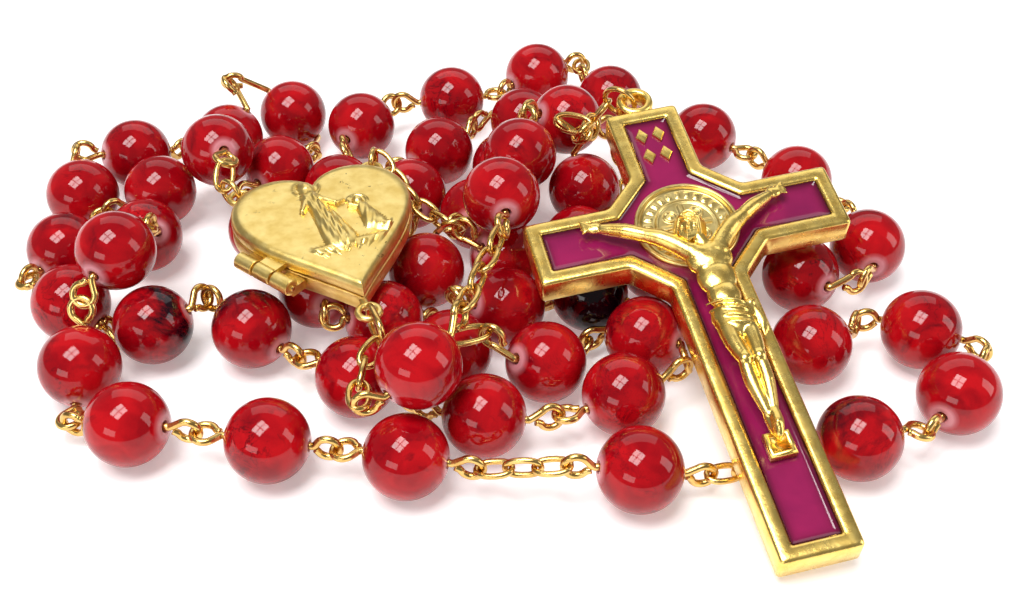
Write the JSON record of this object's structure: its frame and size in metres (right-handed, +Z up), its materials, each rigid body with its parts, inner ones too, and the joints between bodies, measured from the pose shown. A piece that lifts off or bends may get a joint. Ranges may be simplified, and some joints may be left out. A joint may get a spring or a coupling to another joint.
{
  "type": "rosary",
  "caption": "Five-decade rosary in a loose heap: round red glass beads that spin on gold wire eye pins, a hinged heart locket as the centre, and a hanging enamelled crucifix.",
  "frame": {"origin": "on the floor under the middle of the heap's box", "axes": "+Z up, +X to the viewer's right along the heap's longest way, +Y away from the viewer"},
  "size_m": [0.0994, 0.082, 0.0174],
  "materials": {
    "red_glass": "gloss, marbled with dark veins",
    "gold_wire": "polished gold plate",
    "antique_gold": "matte pale antique gold plate",
    "bright_gold": "polished gold plate",
    "purple_enamel": "gloss"
  },
  "bodies": {
    "strand": {"wire_decade_1": "gold_wire", "wire_decade_2": "gold_wire", "wire_decade_3": "gold_wire", "wire_decade_4": "gold_wire", "wire_decade_5": "gold_wire", "wire_pendant": "gold_wire", "locket_back": "antique_gold", "locket_hinge_pin": "gold_wire", "locket_photo_frame": "antique_gold", "locket_ring_left": "gold_wire", "locket_ring_right": "gold_wire", "locket_ring_drop": "gold_wire"},
    "lid": {"locket_lid": "antique_gold"},
    "ring": {"crucifix_ring": "gold_wire"},
    "crucifix": {"cross_frame": "bright_gold", "cross_enamel": "purple_enamel", "cross_medal": "antique_gold", "cross_title": "bright_gold", "corpus": "bright_gold"},
    "bead_d1_01": {"bead_d1_01": "red_glass"},
    "bead_d1_02": {"bead_d1_02": "red_glass"},
    "bead_d1_03": {"bead_d1_03": "red_glass"},
    "bead_d1_04": {"bead_d1_04": "red_glass"},
    "bead_d1_05": {"bead_d1_05": "red_glass"},
    "bead_d1_06": {"bead_d1_06": "red_glass"},
    "bead_d1_07": {"bead_d1_07": "red_glass"},
    "bead_d1_08": {"bead_d1_08": "red_glass"},
    "bead_d1_09": {"bead_d1_09": "red_glass"},
    "bead_d1_10": {"bead_d1_10": "red_glass"},
    "bead_f1": {"bead_f1": "red_glass"},
    "bead_d2_07": {"bead_d2_07": "red_glass"},
    "bead_d3_01": {"bead_d3_01": "red_glass"},
    "bead_d3_03": {"bead_d3_03": "red_glass"},
    "bead_d3_04": {"bead_d3_04": "red_glass"},
    "bead_d3_05": {"bead_d3_05": "red_glass"},
    "bead_d3_06": {"bead_d3_06": "red_glass"},
    "bead_d3_07": {"bead_d3_07": "red_glass"},
    "bead_d3_08": {"bead_d3_08": "red_glass"},
    "bead_d3_09": {"bead_d3_09": "red_glass"},
    "bead_d3_10": {"bead_d3_10": "red_glass"},
    "bead_f3": {"bead_f3": "red_glass"},
    "bead_d4_01": {"bead_d4_01": "red_glass"},
    "bead_d4_02": {"bead_d4_02": "red_glass"},
    "bead_d4_03": {"bead_d4_03": "red_glass"},
    "bead_d4_04": {"bead_d4_04": "red_glass"},
    "bead_d4_07": {"bead_d4_07": "red_glass"},
    "bead_d4_08": {"bead_d4_08": "red_glass"},
    "bead_d4_09": {"bead_d4_09": "red_glass"},
    "bead_d4_10": {"bead_d4_10": "red_glass"},
    "bead_f4": {"bead_f4": "red_glass"},
    "bead_d5_01": {"bead_d5_01": "red_glass"},
    "bead_d5_02": {"bead_d5_02": "red_glass"},
    "bead_d5_03": {"bead_d5_03": "red_glass"},
    "bead_d5_07": {"bead_d5_07": "red_glass"},
    "bead_d5_08": {"bead_d5_08": "red_glass"},
    "bead_p1": {"bead_p1": "red_glass"},
    "bead_p2": {"bead_p2": "red_glass"},
    "bead_p3": {"bead_p3": "red_glass"},
    "bead_p4": {"bead_p4": "red_glass"},
    "bead_p5": {"bead_p5": "red_glass"}
  },
  "joints": [
    {"name": "locket_lid_hinge", "type": "hinge", "parent": "strand", "child": "lid", "pos_m": [-0.02137, -0.01085, 0.01044], "axis": [0.7936, -0.6084, 0], "range_deg": [0, 100]},
    {"name": "crucifix_ring_swing", "type": "hinge", "parent": "strand", "child": "ring", "pos_m": [0.01315, 0.01354, 0.0146], "axis": [-0.4615, -0.8589, -0.2222], "range_deg": [0, 20]},
    {"name": "crucifix_lift", "type": "hinge", "parent": "ring", "child": "crucifix", "pos_m": [0.01441, 0.01265, 0.01542], "axis": [-0.4615, -0.8589, -0.2222], "range_deg": [0, 35]},
    {"name": "bead_d1_01_spin", "type": "hinge", "parent": "strand", "child": "bead_d1_01", "pos_m": [-0.03007, 0.01263, 0.00909], "axis": [-0.3776, 0.7805, -0.4983], "continuous": true},
    {"name": "bead_d1_02_spin", "type": "hinge", "parent": "strand", "child": "bead_d1_02", "pos_m": [-0.03716, 0.01203, 0.00399], "axis": [-0.6813, -0.732, -0.0096], "continuous": true},
    {"name": "bead_d1_03_spin", "type": "hinge", "parent": "strand", "child": "bead_d1_03", "pos_m": [-0.04526, 0.00123, 0.00399], "axis": [-0.4625, -0.8862, -0.0277], "continuous": true},
    {"name": "bead_d1_04_spin", "type": "hinge", "parent": "strand", "child": "bead_d1_04", "pos_m": [-0.04247, -0.00767, 0.00399], "axis": [0.8333, -0.4947, -0.2468], "continuous": true},
    {"name": "bead_d1_05_spin", "type": "hinge", "parent": "strand", "child": "bead_d1_05", "pos_m": [-0.03336, -0.01107, 0.00399], "axis": [0.9126, 0.2114, 0.35], "continuous": true},
    {"name": "bead_d1_06_spin", "type": "hinge", "parent": "strand", "child": "bead_d1_06", "pos_m": [-0.02337, -0.01167, 0.00399], "axis": [0.7918, -0.5961, -0.1332], "continuous": true},
    {"name": "bead_d1_07_spin", "type": "hinge", "parent": "strand", "child": "bead_d1_07", "pos_m": [-0.01226, -0.01867, 0.00399], "axis": [0.8751, -0.484, 0.0034], "continuous": true},
    {"name": "bead_d1_08_spin", "type": "hinge", "parent": "strand", "child": "bead_d1_08", "pos_m": [0.00014, -0.02397, 0.00399], "axis": [0.992, -0.1263, 0.0037], "continuous": true},
    {"name": "bead_d1_09_spin", "type": "hinge", "parent": "strand", "child": "bead_d1_09", "pos_m": [0.01333, -0.02107, 0.00399], "axis": [0.902, 0.4259, 0.0704], "continuous": true},
    {"name": "bead_d1_10_spin", "type": "hinge", "parent": "strand", "child": "bead_d1_10", "pos_m": [0.01594, -0.01277, 0.00399], "axis": [-0.8223, 0.5195, -0.2325], "continuous": true},
    {"name": "bead_f1_spin", "type": "hinge", "parent": "strand", "child": "bead_f1", "pos_m": [0.00604, -0.01657, 0.00399], "axis": [-0.7596, -0.512, 0.401], "continuous": true},
    {"name": "bead_d2_07_spin", "type": "hinge", "parent": "strand", "child": "bead_d2_07", "pos_m": [-0.00626, -0.00237, 0.00399], "axis": [-0.2331, -0.6986, -0.6764], "continuous": true},
    {"name": "bead_d3_01_spin", "type": "hinge", "parent": "strand", "child": "bead_d3_01", "pos_m": [-0.02406, 0.02813, 0.00399], "axis": [-0.7216, 0.3127, 0.6176], "continuous": true},
    {"name": "bead_d3_03_spin", "type": "hinge", "parent": "strand", "child": "bead_d3_03", "pos_m": [-0.04147, 0.01943, 0.00399], "axis": [-0.8079, -0.5036, 0.306], "continuous": true},
    {"name": "bead_d3_04_spin", "type": "hinge", "parent": "strand", "child": "bead_d3_04", "pos_m": [-0.04577, 0.01123, 0.00399], "axis": [0.4246, -0.8265, -0.3695], "continuous": true},
    {"name": "bead_d3_05_spin", "type": "hinge", "parent": "strand", "child": "bead_d3_05", "pos_m": [-0.03716, 0.00373, 0.00399], "axis": [0.5459, -0.5988, 0.5861], "continuous": true},
    {"name": "bead_d3_06_spin", "type": "hinge", "parent": "strand", "child": "bead_d3_06", "pos_m": [-0.03687, -0.00697, 0.01029], "axis": [-0.3651, -0.9276, -0.0788], "continuous": true},
    {"name": "bead_d3_07_spin", "type": "hinge", "parent": "strand", "child": "bead_d3_07", "pos_m": [-0.03927, -0.01717, 0.00399], "axis": [0.0353, -0.8983, -0.4379], "continuous": true},
    {"name": "bead_d3_08_spin", "type": "hinge", "parent": "strand", "child": "bead_d3_08", "pos_m": [-0.03297, -0.02507, 0.00399], "axis": [0.9655, -0.2169, 0.1438], "continuous": true},
    {"name": "bead_d3_09_spin", "type": "hinge", "parent": "strand", "child": "bead_d3_09", "pos_m": [-0.01966, -0.02717, 0.00399], "axis": [0.992, -0.1172, -0.046], "continuous": true},
    {"name": "bead_d3_10_spin", "type": "hinge", "parent": "strand", "child": "bead_d3_10", "pos_m": [-0.00686, -0.02917, 0.00399], "axis": [0.9822, -0.1877, -0.0006], "continuous": true},
    {"name": "bead_f3_spin", "type": "hinge", "parent": "strand", "child": "bead_f3", "pos_m": [0.01423, -0.03077, 0.00399], "axis": [0.9751, 0.0962, -0.1997], "continuous": true},
    {"name": "bead_d4_01_spin", "type": "hinge", "parent": "strand", "child": "bead_d4_01", "pos_m": [0.03463, -0.02687, 0.00399], "axis": [0.9779, 0.1572, 0.138], "continuous": true},
    {"name": "bead_d4_02_spin", "type": "hinge", "parent": "strand", "child": "bead_d4_02", "pos_m": [0.04523, -0.02097, 0.00399], "axis": [0.6098, 0.7923, 0.0172], "continuous": true},
    {"name": "bead_d4_03_spin", "type": "hinge", "parent": "strand", "child": "bead_d4_03", "pos_m": [0.04374, -0.01177, 0.00399], "axis": [-0.9096, 0.4143, -0.0314], "continuous": true},
    {"name": "bead_d4_04_spin", "type": "hinge", "parent": "strand", "child": "bead_d4_04", "pos_m": [0.03234, -0.01407, 0.00399], "axis": [-0.9415, -0.3361, -0.0256], "continuous": true},
    {"name": "bead_d4_07_spin", "type": "hinge", "parent": "strand", "child": "bead_d4_07", "pos_m": [0.03304, -0.00297, 0.00399], "axis": [0.5725, -0.791, 0.2159], "continuous": true},
    {"name": "bead_d4_08_spin", "type": "hinge", "parent": "strand", "child": "bead_d4_08", "pos_m": [0.04104, 0.00183, 0.00399], "axis": [0.0431, 0.9981, -0.0448], "continuous": true},
    {"name": "bead_d4_09_spin", "type": "hinge", "parent": "strand", "child": "bead_d4_09", "pos_m": [0.03533, 0.01403, 0.00399], "axis": [-0.6558, 0.7548, 0.0133], "continuous": true},
    {"name": "bead_d4_10_spin", "type": "hinge", "parent": "strand", "child": "bead_d4_10", "pos_m": [0.02553, 0.02303, 0.00399], "axis": [-0.815, 0.5794, -0.01], "continuous": true},
    {"name": "bead_f4_spin", "type": "hinge", "parent": "strand", "child": "bead_f4", "pos_m": [0.01494, 0.03183, 0.00399], "axis": [-0.6002, 0.7995, 0.0246], "continuous": true},
    {"name": "bead_d5_01_spin", "type": "hinge", "parent": "strand", "child": "bead_d5_01", "pos_m": [0.00594, 0.03723, 0.00399], "axis": [-0.8176, -0.5755, -0.0207], "continuous": true},
    {"name": "bead_d5_02_spin", "type": "hinge", "parent": "strand", "child": "bead_d5_02", "pos_m": [-0.00477, 0.03143, 0.00399], "axis": [-0.9837, -0.1796, 0.005], "continuous": true},
    {"name": "bead_d5_03_spin", "type": "hinge", "parent": "strand", "child": "bead_d5_03", "pos_m": [-0.01546, 0.02543, 0.00399], "axis": [-0.3897, -0.9163, 0.0923], "continuous": true},
    {"name": "bead_d5_07_spin", "type": "hinge", "parent": "strand", "child": "bead_d5_07", "pos_m": [-0.00587, 0.02003, 0.00399], "axis": [0.7392, 0.6721, 0.0431], "continuous": true},
    {"name": "bead_d5_08_spin", "type": "hinge", "parent": "strand", "child": "bead_d5_08", "pos_m": [0.00413, 0.02653, 0.00399], "axis": [0.9029, -0.4298, -0.0112], "continuous": true},
    {"name": "bead_p1_spin", "type": "hinge", "parent": "strand", "child": "bead_p1", "pos_m": [-0.00566, -0.02457, 0.01099], "axis": [0.6795, 0.6828, 0.2684], "continuous": true},
    {"name": "bead_p2_spin", "type": "hinge", "parent": "strand", "child": "bead_p2", "pos_m": [0.00163, -0.00037, 0.01229], "axis": [-0.1246, 0.983, -0.1346], "continuous": true},
    {"name": "bead_p3_spin", "type": "hinge", "parent": "strand", "child": "bead_p3", "pos_m": [0.00364, 0.01033, 0.01009], "axis": [0.3601, 0.9307, 0.0645], "continuous": true},
    {"name": "bead_p4_spin", "type": "hinge", "parent": "strand", "child": "bead_p4", "pos_m": [0.00903, 0.01923, 0.00889], "axis": [0.8207, 0.3804, -0.4263], "continuous": true},
    {"name": "bead_p5_spin", "type": "hinge", "parent": "strand", "child": "bead_p5", "pos_m": [0.01083, 0.01063, 0.00519], "axis": [-0.2913, 0.4607, 0.8384], "continuous": true}
  ]
}
